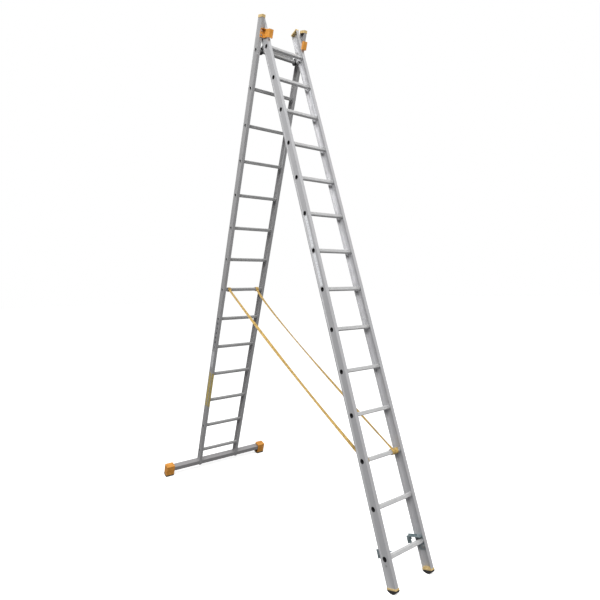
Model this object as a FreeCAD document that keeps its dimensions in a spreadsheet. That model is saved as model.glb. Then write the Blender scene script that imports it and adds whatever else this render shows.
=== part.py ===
import FreeCAD, Part
import os
import Sketcher

# Two-section ladder standing open as a stand. X runs across the ladder, -Y towards the upper
# section's feet, Z up. The origin is on the floor under the middle of the whole ladder.
# "base" is the wider section with the stabiliser bar, "upper" the narrower one hung on it.

sizes = [
    ("rungPitch", "280", "between neighbouring rungs"),
    ("rungCount", "14", "rungs in each section"),
    ("frontLean", "18.4", "degrees off upright, upper section"),
    ("baseWidth", "424", "over the base stiles"),
    ("upperWidth", "346", "over the upper stiles"),
    ("baseDepth", "60", "base stile, front to back"),
    ("upperDepth", "70", "upper stile, front to back"),
    ("flangeReach", "25", "stile size across the ladder"),
    ("webWall", "3", "stile web at its edge ribs"),
    ("flangeWall", "2.5", "stile flanges"),
    ("ribWidth", "9", "edge ribs on the stile's outer face"),
    ("ribRise", "1", "rib height over the sunk face"),
    ("baseTop", "239", "base stile above its top rung"),
    ("upperTop", "243", "upper stile above its top rung"),
    ("barBelow", "130", "stabiliser bar axis below the last base rung"),
    ("barHigh", "40", "stabiliser bar along the stile"),
    ("barLong", "1064", "stabiliser bar tube"),
    ("barWall", "2", "stabiliser bar tube wall"),
    ("tongueMore", "6", "stile flanges past the bar"),
    ("endCapOut", "546", "end cap's outer face from the middle"),
    ("endCapWide", "76", "end cap across the ladder"),
    ("endCapWall", "5", "end cap round the bar"),
    ("endCapTop", "38", "end cap above the bar axis"),
    ("barSole", "76.5", "radius of the bar's rubber soles"),
    ("solePad", "13", "thickness of those soles"),
    ("soleFlat", "1", "depth of the flat that each sole stands on"),
    ("upperEnd", "157.5", "upper stile's end below its last rung"),
    ("footSole", "48", "radius of the upper feet's soles"),
    ("footRise", "16", "middle of that radius above the stile's end"),
    ("footHalf", "37", "half depth of the upper feet"),
    ("footRim", "10", "height of the feet's rim"),
    ("footOver", "3", "feet past the stile's sides"),
    ("rungSize", "26", "square of the rung tube"),
    ("rungRound", "31", "diameter that rounds the rung's corners"),
    ("rungBore", "23", "inside of the rung tube"),
    ("collarSize", "31", "flared rung ends"),
    ("collarRise", "1.5", "thickness of the flare"),
    ("fitGap", "0.05", "round parts in round holes, on the radius"),
    ("seatGap", "0.3", "between parts that don't touch"),
    ("hingeReach", "84.7", "hinge axis behind the upper section's middle plane"),
    ("hingeRise", "28.2", "hinge axis above the upper section's top rung"),
    ("hingeTube", "28", "outside of the base's top tube"),
    ("finHalf", "138", "half length of the fin along that tube"),
    ("finHigh", "39", "top of that fin above the hinge axis"),
    ("finThick", "6", "thickness of that fin"),
    ("bushSize", "40", "outside of the hinge bushes"),
    ("bushRim", "3", "thickness of the rims beside the hinge arm"),
    ("bushRimOver", "5", "height of those rims"),
    ("armPlate", "6", "hinge arm plates"),
    ("armFoot", "4", "hinge arm foot on the stile"),
    ("armRound", "28", "radius round the hinge arm's hook"),
    ("armBoltRise", "45", "hinge arm bolts above and below the hinge axis"),
    ("armFootHalf", "58", "hinge arm foot above and below the hinge axis"),
    ("guideHigh", "60", "guide shoe along the stile"),
    ("guideBottom", "89", "guide shoe's lower edge above the hinge axis"),
    ("guideWall", "4", "guide shoe walls"),
    ("stackGap", "5", "base stile to upper stile when one lies on the other"),
    ("guideRoom", "0.5", "that upper stile to the guide shoe's front wall"),
    ("guideBeside", "2", "upper stile to the guide shoe's cheek"),
    ("guideLip", "20", "guide shoe's lip, front to back"),
    ("guideGusset", "24", "guide shoe's top gusset, front to back"),
    ("guideBoltIn", "16", "guide shoe bolts from its ends"),
    ("guideHead", "2", "guide shoe bolts' flat heads"),
    ("hookPlate", "4", "rung hook plates"),
    ("hookShelf", "34", "top of the rung hook above the last rung's axis"),
    ("hookFront", "25", "rung hook's front edge ahead of the middle plane"),
    ("hookTip", "84", "rung hook's nose behind the middle plane"),
    ("hookWide", "24", "rung hook across the ladder"),
    ("hookNose", "12", "bottom of the hook's nose below the last rung's axis"),
    ("hookDrop", "56", "bottom of the hook's web plate below the last rung's axis"),
    ("hookBolt", "36", "hook bolt below the last rung's axis"),
    ("earDeep", "20", "ears that carry the latch pawl, front to back"),
    ("pawlPin", "6", "pin of the hook's latch pawl"),
    ("pawlIn", "13", "that pin ahead of the hook's nose"),
    ("pawlRise", "20", "that pin above the last rung's axis"),
    ("pawlDrop", "12", "end of the pawl below the last rung's axis"),
    ("pawlToe", "16", "the pawl's toe, front to back"),
    ("strapWide", "25", "webbing width"),
    ("strapThick", "2", "webbing thickness"),
    ("strapBaseRung", "8", "base rung that the straps go round"),
    ("strapUpperRung", "12", "upper rung that the straps go round"),
    ("strapBaseX", "145", "straps from the middle, at the base"),
    ("strapUpperX", "134", "straps from the middle, at the upper section"),
    ("capOver", "1.5", "top caps past the stile's sides"),
    ("capHigh", "7", "top caps above the stile's end"),
    ("baseSkirt", "13", "base top caps down round the outside of the stile"),
    ("upperSkirt", "3", "upper top caps down round the outside of the stile"),
    ("capPlug", "6", "top caps and feet inside the stile"),
    ("boltSize", "8", "bolts"),
    ("headSize", "15", "bolt heads"),
    ("headHigh", "5", "bolt heads and nuts"),
    # worked out from the sizes above
    ("spanRungs", "=(rungCount - 1) * rungPitch", "first rung to last"),
    ("baseHalf", "=baseWidth / 2", "base stile's outer face"),
    ("upperHalf", "=upperWidth / 2", "upper stile's outer face"),
    ("barDrop", "=spanRungs + barBelow", "bar axis below the top rung"),
    ("barDeep", "=baseDepth - 2 * flangeWall - 2 * fitGap", "bar fits between the flanges"),
    ("baseBottom", "=barDrop + barHigh / 2 + tongueMore", "base stile's end below the top rung"),
    ("upperBottom", "=spanRungs + upperEnd", "upper stile's end below its top rung"),
    ("baseLong", "=baseTop + baseBottom", "base stile"),
    ("upperLong", "=upperTop + upperBottom", "upper stile"),
    ("footDrop", "=upperBottom - footRise", "middle of the upper feet's radius below the top rung"),
    ("hingeHigh", "=footSole - soleFlat - hingeReach * sin(frontLean * 1deg)"
     " + (footDrop + hingeRise) * cos(frontLean * 1deg)", "hinge axis above the floor"),
    ("baseLean", "=acos((hingeHigh - barSole + soleFlat) / barDrop) / 1deg", "degrees off upright, base"),
    ("frontReach", "=hingeReach * cos(frontLean * 1deg) + (footDrop + hingeRise) * sin(frontLean * 1deg)"
     " + footHalf * cos(frontLean * 1deg) + sqrt(footSole ^ 2 - footHalf ^ 2) * sin(frontLean * 1deg)",
     "hinge to the front of the upper feet"),
    ("endCapDeep", "=barDeep / 2 + endCapWall", "half depth of the end caps"),
    ("rearReach", "=barDrop * sin(baseLean * 1deg) + endCapDeep * cos(baseLean * 1deg)"
     " + sqrt(barSole ^ 2 - endCapDeep ^ 2) * sin(baseLean * 1deg)", "hinge to the back of the bar's feet"),
    ("hingeY", "=(frontReach - rearReach) / 2", "hinge axis from the middle of the floor area"),
    ("upperY", "=hingeY - hingeReach * cos(frontLean * 1deg) - hingeRise * sin(frontLean * 1deg)",
     "upper section's top rung"),
    ("upperZ", "=hingeHigh + hingeReach * sin(frontLean * 1deg) - hingeRise * cos(frontLean * 1deg)",
     "upper section's top rung"),
    ("bushPlace", "=upperHalf - flangeReach / 2 - 0.5", "hinge bushes' middle from the middle"),
    ("guideIn", "=upperHalf + guideBeside", "guide shoe's cheek from the middle"),
    ("guideFront", "=baseDepth / 2 + stackGap + upperDepth + guideRoom", "inside of the guide shoe's front wall"),
    ("pawlBack", "=hookTip - pawlIn", "pawl pin behind the middle plane"),
]

doc = FreeCAD.newDocument("ladder")
sheet = doc.addObject("Spreadsheet::Sheet", "sizes")
for row, (alias, value, note) in enumerate(sizes, start=1):
    sheet.set("A%d" % row, alias)
    sheet.set("B%d" % row, value)
    sheet.setAlias("B%d" % row, alias)
    sheet.set("C%d" % row, note)
doc.recompute()

aliases = [entry[0] for entry in sizes]
count = int(sheet.rungCount)
sides = (("left", -1), ("right", 1))
finished = []


def bound(words):
    """Puts the sheet's name in front of each size in an expression."""
    out = ""
    word = ""
    for letter in words + " ":
        if letter.isalnum():
            word += letter
        else:
            out += "sizes." + word if word in aliases else word
            word = ""
            out += letter
    return out.strip()


def bind(thing, prop, words):
    thing.setExpression(prop, bound(words))


def between(a, b):
    return "(%s) - (%s)" % (b, a)


def across(side, inner, outer):
    """The low and high X of something between two distances from the middle, on one side."""
    if side > 0:
        return inner, outer
    return "-(%s)" % outer, "-(%s)" % inner


def block(name, x, y, z):
    thing = doc.addObject("Part::Box", name)
    for prop, axis, pair in (("Length", "x", x), ("Width", "y", y), ("Height", "z", z)):
        bind(thing, prop, between(*pair))
        bind(thing, "Placement.Base." + axis, pair[0])
    return thing


def rod(name, diameter, x, y, z):
    """A cylinder along whichever of X, Y, Z is given as a pair."""
    thing = doc.addObject("Part::Cylinder", name)
    bind(thing, "Radius", "(%s) / 2" % diameter)
    turn = FreeCAD.Rotation(0, 0, 0, 1)
    for axis, place in (("x", x), ("y", y), ("z", z)):
        pair = place
        if isinstance(place, tuple):
            bind(thing, "Height", between(*place))
            if axis == "x":
                turn = FreeCAD.Rotation(FreeCAD.Vector(0, 1, 0), 90)
            if axis == "y":
                turn = FreeCAD.Rotation(FreeCAD.Vector(1, 0, 0), -90)
            pair = place[0]
        bind(thing, "Placement.Base." + axis, pair)
    thing.Placement.Rotation = turn
    return thing


def fuse(name, parts):
    thing = doc.addObject("Part::MultiFuse", name)
    thing.Shapes = parts
    thing.Refine = True
    return thing


def common(name, parts):
    thing = doc.addObject("Part::MultiCommon", name)
    thing.Shapes = parts
    return thing


def cut(name, body, tools):
    thing = doc.addObject("Part::Cut", name)
    thing.Base = body
    thing.Tool = tools[0] if len(tools) == 1 else fuse(name + "_tools", tools)
    return thing


def standing(name, section, x, drop, reach):
    """A block that keeps only what is above the floor, turned back upright in its section's frame."""
    lean = "(-baseLean * 1deg)" if section == "base" else "(frontLean * 1deg)"
    thing = doc.addObject("Part::Box", name)
    bind(thing, "Length", between(*x))
    bind(thing, "Width", "4 * (%s)" % reach)
    bind(thing, "Height", "3 * (%s)" % reach)
    thing.Placement.Rotation = FreeCAD.Rotation(FreeCAD.Vector(1, 0, 0), 10)
    bind(thing, "Placement.Rotation.Angle", lean)
    bind(thing, "Placement.Base.x", x[0])
    bind(thing, "Placement.Base.y", "-2 * (%s) * cos(%s) + (%s - soleFlat) * sin(%s)" % (reach, lean, reach, lean))
    bind(thing, "Placement.Base.z",
         "-(%s) - 2 * (%s) * sin(%s) - (%s - soleFlat) * cos(%s)" % (drop, reach, lean, reach, lean))
    return thing


def finish(name, thing, section, x="0", y="0", z="0"):
    """Names a finished piece and sets it at a place in its section's own frame."""
    lean = "(baseLean * 1deg)" if section == "base" else "(-frontLean * 1deg)"
    startY, startZ = ("hingeY", "hingeHigh") if section == "base" else ("upperY", "upperZ")
    thing.Label = name
    thing.Placement.Rotation = FreeCAD.Rotation(FreeCAD.Vector(1, 0, 0), 10)
    bind(thing, "Placement.Base.x", x)
    bind(thing, "Placement.Base.y", "%s + cos(%s) * (%s) - sin(%s) * (%s)" % (startY, lean, y, lean, z))
    bind(thing, "Placement.Base.z", "%s + sin(%s) * (%s) + cos(%s) * (%s)" % (startZ, lean, y, lean, z))
    bind(thing, "Placement.Rotation.Angle", lean)
    finished.append(thing)
    return thing


def originPart(body, role):
    for part in body.Origin.OriginFeatures:
        if part.Role == role:
            return part


def sketchOn(body, name, plane):
    sketch = body.newObject("Sketcher::SketchObject", name)
    sketch.AttachmentSupport = [(originPart(body, plane), "")]
    sketch.MapMode = "FlatFace"
    return sketch


def steps(sketch, startX, startY, moves):
    """A closed outline of level and upright edges. startX and startY are (sign, size);
    each move is (axis, sign, size). The last two edges close it, so they take no size."""
    x = startX[0] * sizeOf(startX[1])
    y = startY[0] * sizeOf(startY[1])
    points = [(x, y)]
    for axis, sign, size in moves:
        x += sign * sizeOf(size) if axis == "x" else 0
        y += sign * sizeOf(size) if axis == "y" else 0
        points.append((x, y))
    total = len(moves)
    for i in range(total):
        a = FreeCAD.Vector(points[i][0], points[i][1], 0)
        b = FreeCAD.Vector(points[(i + 1) % total][0], points[(i + 1) % total][1], 0)
        sketch.addGeometry(Part.LineSegment(a, b), False)
    for i in range(total):
        sketch.addConstraint(Sketcher.Constraint("Coincident", i, 2, (i + 1) % total, 1))
        level = "Horizontal" if moves[i][0] == "x" else "Vertical"
        sketch.addConstraint(Sketcher.Constraint(level, i))
    for kind, (sign, size) in (("DistanceX", startX), ("DistanceY", startY)):
        ends = (-1, 1, 0, 1) if sign > 0 else (0, 1, -1, 1)
        place = sketch.addConstraint(Sketcher.Constraint(kind, *ends, sizeOf(size)))
        bind(sketch, "Constraints[%d]" % place, size)
    for i in range(total - 2):
        axis, sign, size = moves[i]
        ends = (i, 1, i, 2) if sign > 0 else (i, 2, i, 1)
        kind = "DistanceX" if axis == "x" else "DistanceY"
        place = sketch.addConstraint(Sketcher.Constraint(kind, *ends, sizeOf(size)))
        bind(sketch, "Constraints[%d]" % place, size)


def sizeOf(words):
    """The present value of an expression, for a sketch's first guess."""
    probe = doc.addObject("App::FeaturePython", "probe")
    probe.addProperty("App::PropertyFloat", "value")
    bind(probe, "value", words)
    probe.recompute()
    value = float(probe.value)
    doc.removeObject(probe.Name)
    return value


def stile(section, name, side, half, depth, top, bottom, lowHole):
    """A channel open towards the rungs, with edge ribs outside and a hole for each rung."""
    body = doc.addObject("PartDesign::Body", name + "_channel")
    profile = sketchOn(body, name + "_profile", "XY_Plane")
    inward = -side
    steps(profile, (side, half), (1, depth + " / 2"), [
        ("x", inward, "flangeReach"),
        ("y", -1, "flangeWall"),
        ("x", side, "flangeReach - webWall"),
        ("y", -1, depth + " - 2 * flangeWall"),
        ("x", inward, "flangeReach - webWall"),
        ("y", -1, "flangeWall"),
        ("x", side, "flangeReach"),
        ("y", 1, "ribWidth"),
        ("x", inward, "ribRise"),
        ("y", 1, depth + " - 2 * ribWidth"),
        ("x", side, "ribRise"),
        ("y", 1, "ribWidth"),
    ])
    pad = body.newObject("PartDesign::Pad", name + "_length")
    pad.Profile = profile
    bind(pad, "Length", "%s + %s" % (top, bottom))
    hole = sketchOn(body, name + "_hole", "YZ_Plane")
    rise = sizeOf(lowHole)
    radius = sizeOf("rungSize / 2 + fitGap")
    hole.addGeometry(Part.Circle(FreeCAD.Vector(0, rise, 0), FreeCAD.Vector(0, 0, 1), radius), False)
    hole.addConstraint(Sketcher.Constraint("PointOnObject", 0, 3, -2))
    high = hole.addConstraint(Sketcher.Constraint("DistanceY", -1, 1, 0, 3, rise))
    bind(hole, "Constraints[%d]" % high, lowHole)
    wide = hole.addConstraint(Sketcher.Constraint("Radius", 0, radius))
    bind(hole, "Constraints[%d]" % wide, "rungSize / 2 + fitGap")
    pocket = body.newObject("PartDesign::Pocket", name + "_rung_hole")
    pocket.Profile = hole
    pocket.Reversed = side > 0
    bind(pocket, "Length", half + " + ribWidth")
    row = body.newObject("PartDesign::LinearPattern", name + "_rung_holes")
    row.Originals = [pocket]
    row.Direction = (originPart(body, "Z_Axis"), [""])
    bind(row, "Length", "spanRungs")
    bind(row, "Occurrences", "rungCount")
    body.Tip = row
    return body


def rung(name, section, half, index):
    """A square tube with rounded corners, its round ends let through the webs and flared."""
    length = "(%s - webWall)" % half
    face = "(%s - ribRise)" % half
    outer = common(name + "_tube", [
        block(name + "_square", ("-" + length, length), ("-rungSize / 2", "rungSize / 2"),
              ("-rungSize / 2", "rungSize / 2")),
        rod(name + "_rounding", "rungRound", ("-" + length, length), "0", "0"),
    ])
    ends = rod(name + "_ends", "rungSize", ("-%s - collarRise" % face, face + " + collarRise"), "0", "0")
    flares = [
        rod(name + "_flare_" + word, "collarSize",
            across(side, face, face + " + collarRise"), "0", "0")
        for word, side in sides
    ]
    bore = rod(name + "_bore", "rungBore", ("-%s - 9" % half, half + " + 9"), "0", "0")
    whole = cut(name + "_piece", fuse(name + "_solid", [outer, ends] + flares), [bore])
    finish(name, whole, section, z="-%d * rungPitch" % index)


def topCap(name, section, side, half, depth, top, skirt):
    """A cap over a stile's end: a skirt outside it and a short plug inside it."""
    inner = half + " - flangeReach"
    shell = cut(name + "_shell", block(
        name + "_block", across(side, inner + " - capOver", half + " + capOver"),
        ("-%s / 2 - capOver" % depth, depth + " / 2 + capOver"), ("%s - %s" % (top, skirt), top + " + capHigh"),
    ), [block(
        name + "_pocket", across(side, inner + " - fitGap", half + " + fitGap"),
        ("-%s / 2 - fitGap" % depth, depth + " / 2 + fitGap"), ("%s - %s - 1" % (top, skirt), top),
    )])
    plug = block(name + "_plug", across(side, inner + " + 1", half + " - webWall - seatGap"),
                 ("-%s / 2 + flangeWall + seatGap" % depth, depth + " / 2 - flangeWall - seatGap"),
                 (top + " - capPlug", top + " + 1"))
    finish(name, fuse(name + "_solid", [shell, plug]), section)


# ---- base section, its frame's origin on the hinge axis
baseBolts = []
guideBoltZ = ((1, "guideBottom + guideBoltIn"), (2, "guideBottom + guideHigh - guideBoltIn"))
for word, side in sides:
    name = "base_stile_" + word
    body = stile("base", name, side, "baseHalf", "baseDepth", "baseTop", "baseBottom",
                 "baseBottom - spanRungs")
    low, high = across(side, "baseHalf - flangeReach - 1", "baseHalf + 1")
    notch = block(name + "_bar_notch", (low, high),
                  ("-(baseDepth / 2 - flangeWall)", "baseDepth / 2 - flangeWall"),
                  ("-1", "baseBottom - barDrop + barHigh / 2 + fitGap"))
    boltX = "%d * (baseHalf - flangeReach / 2)" % side
    tools = [notch, rod(name + "_bolt_hole", "boltSize + 2 * fitGap", boltX,
                        ("-baseDepth / 2 - 1", "baseDepth / 2 + 1"), "baseBottom - barDrop")]
    for number, rise in guideBoltZ:
        tools.append(rod("%s_guide_hole_%d" % (name, number), "boltSize + 2 * fitGap", boltX,
                         ("-baseDepth / 2 - 1", "-baseDepth / 2 + flangeWall + 1"), "baseBottom + " + rise))
    finish(name, cut(name + "_piece", body, tools), "base", z="-baseBottom")
    topCap("base_cap_" + word, "base", side, "baseHalf", "baseDepth", "baseTop", "baseSkirt")
    baseBolts.append(fuse("bar_bolt_" + word, [
        rod("bar_bolt_%s_shank" % word, "boltSize", boltX,
            ("-baseDepth / 2 - headHigh", "baseDepth / 2 + headHigh"), "-barDrop"),
        rod("bar_bolt_%s_head" % word, "headSize", boltX,
            ("-baseDepth / 2 - headHigh", "-baseDepth / 2"), "-barDrop"),
        rod("bar_bolt_%s_nut" % word, "headSize", boltX,
            ("baseDepth / 2", "baseDepth / 2 + headHigh"), "-barDrop"),
    ]))
    for number, rise in guideBoltZ:
        bolt = "guide_bolt_%s_%d" % (word, number)
        baseBolts.append(fuse(bolt, [
            rod(bolt + "_shank", "boltSize", boltX,
                ("-baseDepth / 2 - guideWall - 1", "-baseDepth / 2 + flangeWall + 1"), rise),
            rod(bolt + "_head", "headSize", boltX,
                ("-baseDepth / 2 - guideWall - guideHead", "-baseDepth / 2 - guideWall"), rise),
            rod(bolt + "_nut", "headSize", boltX,
                ("-baseDepth / 2 + flangeWall", "-baseDepth / 2 + flangeWall + headHigh"), rise),
        ]))

    # the guide shoe: a foot on the front flange, a cheek past the upper stile, a wall and lip before it
    tall = ("guideBottom", "guideBottom + guideHigh")
    front = "-guideFront - guideWall"
    shoe = fuse("guide_shoe_%s_solid" % word, [
        block("guide_shoe_%s_foot" % word, across(side, "guideIn", "baseHalf"),
              ("-baseDepth / 2 - guideWall", "-baseDepth / 2"), tall),
        block("guide_shoe_%s_cheek" % word, across(side, "guideIn", "guideIn + guideWall"),
              (front, "-baseDepth / 2"), tall),
        block("guide_shoe_%s_front" % word,
              across(side, "upperHalf - flangeReach - guideWall - 1", "guideIn + guideWall"),
              (front, "-guideFront"), tall),
        block("guide_shoe_%s_lip" % word,
              across(side, "upperHalf - flangeReach - guideWall - 1", "upperHalf - flangeReach - 1"),
              (front, front + " + guideLip"), tall),
        block("guide_shoe_%s_gusset" % word, across(side, "guideIn", "baseHalf - guideWall"),
              ("-baseDepth / 2 - guideWall - guideGusset", "-baseDepth / 2"),
              ("guideBottom + guideHigh - guideWall", "guideBottom + guideHigh")),
    ])
    shoeHoles = [
        rod("guide_shoe_%s_hole_%d" % (word, number), "boltSize + 2 * fitGap", boltX,
            ("-baseDepth / 2 - guideWall - 1", "-baseDepth / 2 + 1"), rise)
        for number, rise in guideBoltZ
    ]
    finish("guide_shoe_" + word, cut("guide_shoe_%s_piece" % word, shoe, shoeHoles), "base")

hingeTube = fuse("hinge_tube_solid", [
    block("hinge_tube_fin", ("-finHalf", "finHalf"), ("-finThick / 2", "finThick / 2"), ("0", "finHigh")),
    rod("hinge_tube_middle", "hingeTube", ("-(baseHalf - webWall)", "baseHalf - webWall"), "0", "0"),
    rod("hinge_tube_ends", "rungSize",
        ("-(baseHalf - ribRise + collarRise)", "baseHalf - ribRise + collarRise"), "0", "0"),
] + [
    rod("hinge_tube_flare_" + word, "collarSize",
        across(side, "baseHalf - ribRise", "baseHalf - ribRise + collarRise"), "0", "0")
    for word, side in sides
])
hingeBore = rod("hinge_tube_bore", "rungBore", ("-baseHalf - 9", "baseHalf + 9"), "0", "0")
finish("base_rung_01", cut("hinge_tube_piece", hingeTube, [hingeBore]), "base")
for index in range(1, count):
    rung("base_rung_%02d" % (index + 1), "base", "baseHalf", index)

barTools = [
    block("bar_inside", ("-barLong", "barLong"), ("-barDeep / 2 + barWall", "barDeep / 2 - barWall"),
          ("-barDrop - barHigh / 2 + barWall", "-barDrop + barHigh / 2 - barWall")),
]
for word, side in sides:
    barTools.append(rod("bar_hole_" + word, "boltSize + 2 * fitGap",
                        "%d * (baseHalf - flangeReach / 2)" % side,
                        ("-baseDepth", "baseDepth"), "-barDrop"))
bar = block("bar_outside", ("-barLong / 2", "barLong / 2"), ("-barDeep / 2", "barDeep / 2"),
            ("-barDrop - barHigh / 2", "-barDrop + barHigh / 2"))
finish("stabiliser_bar", cut("bar_piece", bar, barTools), "base")
finish("base_fixings", fuse("base_fixings_group", baseBolts), "base")

for word, side in sides:
    span = across(side, "endCapOut - endCapWide", "endCapOut")
    deep = ("-endCapDeep", "endCapDeep")
    shell = common("bar_cap_%s_shell" % word, [
        block("bar_cap_%s_block" % word, span, deep, ("-barDrop - barSole", "-barDrop + endCapTop")),
        rod("bar_cap_%s_round" % word, "2 * (barSole - solePad)", span, "0", "-barDrop"),
    ])
    seat = block("bar_cap_%s_seat" % word, across(side, "0", "barLong / 2"),
                 ("-barDeep / 2 - fitGap", "barDeep / 2 + fitGap"),
                 ("-barDrop - barHigh / 2 - fitGap", "-barDrop + barHigh / 2 + fitGap"))
    finish("bar_cap_" + word, cut("bar_cap_%s_piece" % word, shell, [seat]), "base")
    sole = common("bar_sole_%s_disc" % word, [
        block("bar_sole_%s_block" % word, span, deep, ("-barDrop - barSole - 1", "-barDrop - barHigh / 2")),
        rod("bar_sole_%s_round" % word, "2 * barSole", span, "0", "-barDrop"),
        standing("bar_sole_%s_floor" % word, "base", span, "barDrop", "barSole"),
    ])
    core = rod("bar_sole_%s_core" % word, "2 * (barSole - solePad)",
               across(side, "0", "endCapOut + 1"), "0", "-barDrop")
    finish("bar_sole_" + word, cut("bar_sole_%s_piece" % word, sole, [core]), "base")

# ---- upper section, its frame's origin on its top rung
fixings = []
armBoltZ = ((1, "hingeRise - armBoltRise"), (2, "hingeRise + armBoltRise"))
hookBoltZ = "-spanRungs - hookBolt"
for word, side in sides:
    name = "upper_stile_" + word
    body = stile("upper", name, side, "upperHalf", "upperDepth", "upperTop", "upperBottom",
                 "upperBottom - spanRungs")
    armX = "%d * (upperHalf - flangeReach / 2)" % side
    drills = []
    for number, rise in armBoltZ:
        drills.append(rod("%s_arm_hole_%d" % (name, number), "boltSize + 2 * fitGap", armX,
                          ("upperDepth / 2 - flangeWall - 1", "upperDepth / 2 + 1"),
                          "upperBottom + " + rise))
        fixings.append(fuse("arm_bolt_%s_%d" % (word, number), [
            rod("arm_bolt_%s_%d_shank" % (word, number), "boltSize", armX,
                ("upperDepth / 2 - flangeWall - headHigh", "upperDepth / 2 + armFoot + 1"), rise),
            rod("arm_bolt_%s_%d_nut" % (word, number), "headSize", armX,
                ("upperDepth / 2 - flangeWall - headHigh", "upperDepth / 2 - flangeWall"), rise),
            rod("arm_bolt_%s_%d_head" % (word, number), "headSize", armX,
                ("upperDepth / 2 + armFoot", "upperDepth / 2 + armFoot + headHigh"), rise),
        ]))
    inside, outside = across(side, "upperHalf - webWall - 1", "upperHalf + 1")
    drills.append(rod(name + "_hook_hole", "boltSize + 2 * fitGap", (inside, outside), "0",
                      "upperBottom + " + hookBoltZ))
    fixings.append(fuse("hook_bolt_" + word, [
        rod("hook_bolt_%s_shank" % word, "boltSize",
            across(side, "upperHalf - webWall - hookPlate - headHigh", "upperHalf - ribRise + 1"), "0", hookBoltZ),
        rod("hook_bolt_%s_head" % word, "2 * headSize - 4",
            across(side, "upperHalf - webWall - hookPlate - headHigh", "upperHalf - webWall - hookPlate"),
            "0", hookBoltZ),
        rod("hook_bolt_%s_end" % word, "headSize",
            across(side, "upperHalf - ribRise", "upperHalf"), "0", hookBoltZ),
    ]))
    finish(name, cut(name + "_piece", body, drills), "upper", z="-upperBottom")

    topCap("upper_cap_" + word, "upper", side, "upperHalf", "upperDepth", "upperTop", "upperSkirt")

    wide = across(side, "upperHalf - flangeReach - footOver", "upperHalf + footOver")
    rim = fuse("foot_rim_%s_solid" % word, [
        block("foot_rim_%s_band" % word, wide, ("-footHalf", "footHalf"),
              ("-upperBottom - footRim", "-upperBottom")),
        block("foot_rim_%s_plug" % word,
              across(side, "upperHalf - flangeReach + 1", "upperHalf - webWall - seatGap"),
              ("-upperDepth / 2 + flangeWall + seatGap", "upperDepth / 2 - flangeWall - seatGap"),
              ("-upperBottom - 1", "-upperBottom + capPlug")),
    ])
    finish("foot_rim_" + word, rim, "upper")
    sole = common("foot_sole_%s_solid" % word, [
        block("foot_sole_%s_block" % word, wide, ("-footHalf", "footHalf"),
              ("-footDrop - footSole - 1", "-upperBottom - footRim")),
        rod("foot_sole_%s_round" % word, "2 * footSole", wide, "0", "-footDrop"),
        standing("foot_sole_%s_floor" % word, "upper", wide, "footDrop", "footSole"),
    ])
    finish("foot_sole_" + word, sole, "upper")

    # the hinge arm: a foot on the stile's rear flange and a plate with a mouth that drops over the bush
    arm = fuse("hinge_arm_%s_solid" % word, [
        block("hinge_arm_%s_foot" % word, across(side, "upperHalf - flangeReach", "upperHalf"),
              ("upperDepth / 2", "upperDepth / 2 + armFoot"), ("hingeRise - armFootHalf", "hingeRise + armFootHalf")),
        block("hinge_arm_%s_plate" % word,
              across(side, "bushPlace - armPlate / 2", "bushPlace + armPlate / 2"),
              ("upperDepth / 2", "hingeReach"), ("hingeRise - armRound", "hingeRise + armRound")),
        rod("hinge_arm_%s_round" % word, "2 * armRound",
            across(side, "bushPlace - armPlate / 2", "bushPlace + armPlate / 2"), "hingeReach", "hingeRise"),
    ])
    mouth = [
        rod("hinge_arm_%s_seat" % word, "bushSize + 2 * fitGap",
            across(side, "bushPlace - flangeReach", "bushPlace + flangeReach"), "hingeReach", "hingeRise"),
        block("hinge_arm_%s_mouth" % word,
              across(side, "bushPlace - flangeReach", "bushPlace + flangeReach"),
              ("hingeReach - bushSize / 2 - fitGap", "hingeReach + bushSize / 2 + fitGap"),
              ("hingeRise - 2 * armRound", "hingeRise")),
    ]
    for number, rise in armBoltZ:
        mouth.append(rod("hinge_arm_%s_hole_%d" % (word, number), "boltSize + 2 * fitGap", armX,
                         ("upperDepth / 2 - 1", "upperDepth / 2 + armFoot + 1"), rise))
    finish("hinge_arm_" + word, cut("hinge_arm_%s_piece" % word, arm, mouth), "upper")
    groove = "armPlate / 2 + seatGap"
    spool = [rod("hinge_bush_%s_core" % word, "bushSize",
                 across(side, "bushPlace - (%s)" % groove, "bushPlace + " + groove), "hingeReach", "hingeRise")]
    for edge, low, high in (("inner", "bushPlace - (%s) - bushRim" % groove, "bushPlace - (%s)" % groove),
                            ("outer", "bushPlace + " + groove, "bushPlace + %s + bushRim" % groove)):
        spool.append(rod("hinge_bush_%s_%s_rim" % (word, edge), "bushSize + 2 * bushRimOver",
                         across(side, low, high), "hingeReach", "hingeRise"))
    bore = rod("hinge_bush_%s_bore" % word, "hingeTube + 2 * fitGap",
               across(side, "bushPlace - flangeReach", "bushPlace + flangeReach"), "hingeReach", "hingeRise")
    bush = cut("hinge_bush_%s_piece" % word, fuse("hinge_bush_%s_solid" % word, spool), [bore])
    finish("hinge_bush_" + word, bush, "upper")

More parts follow.
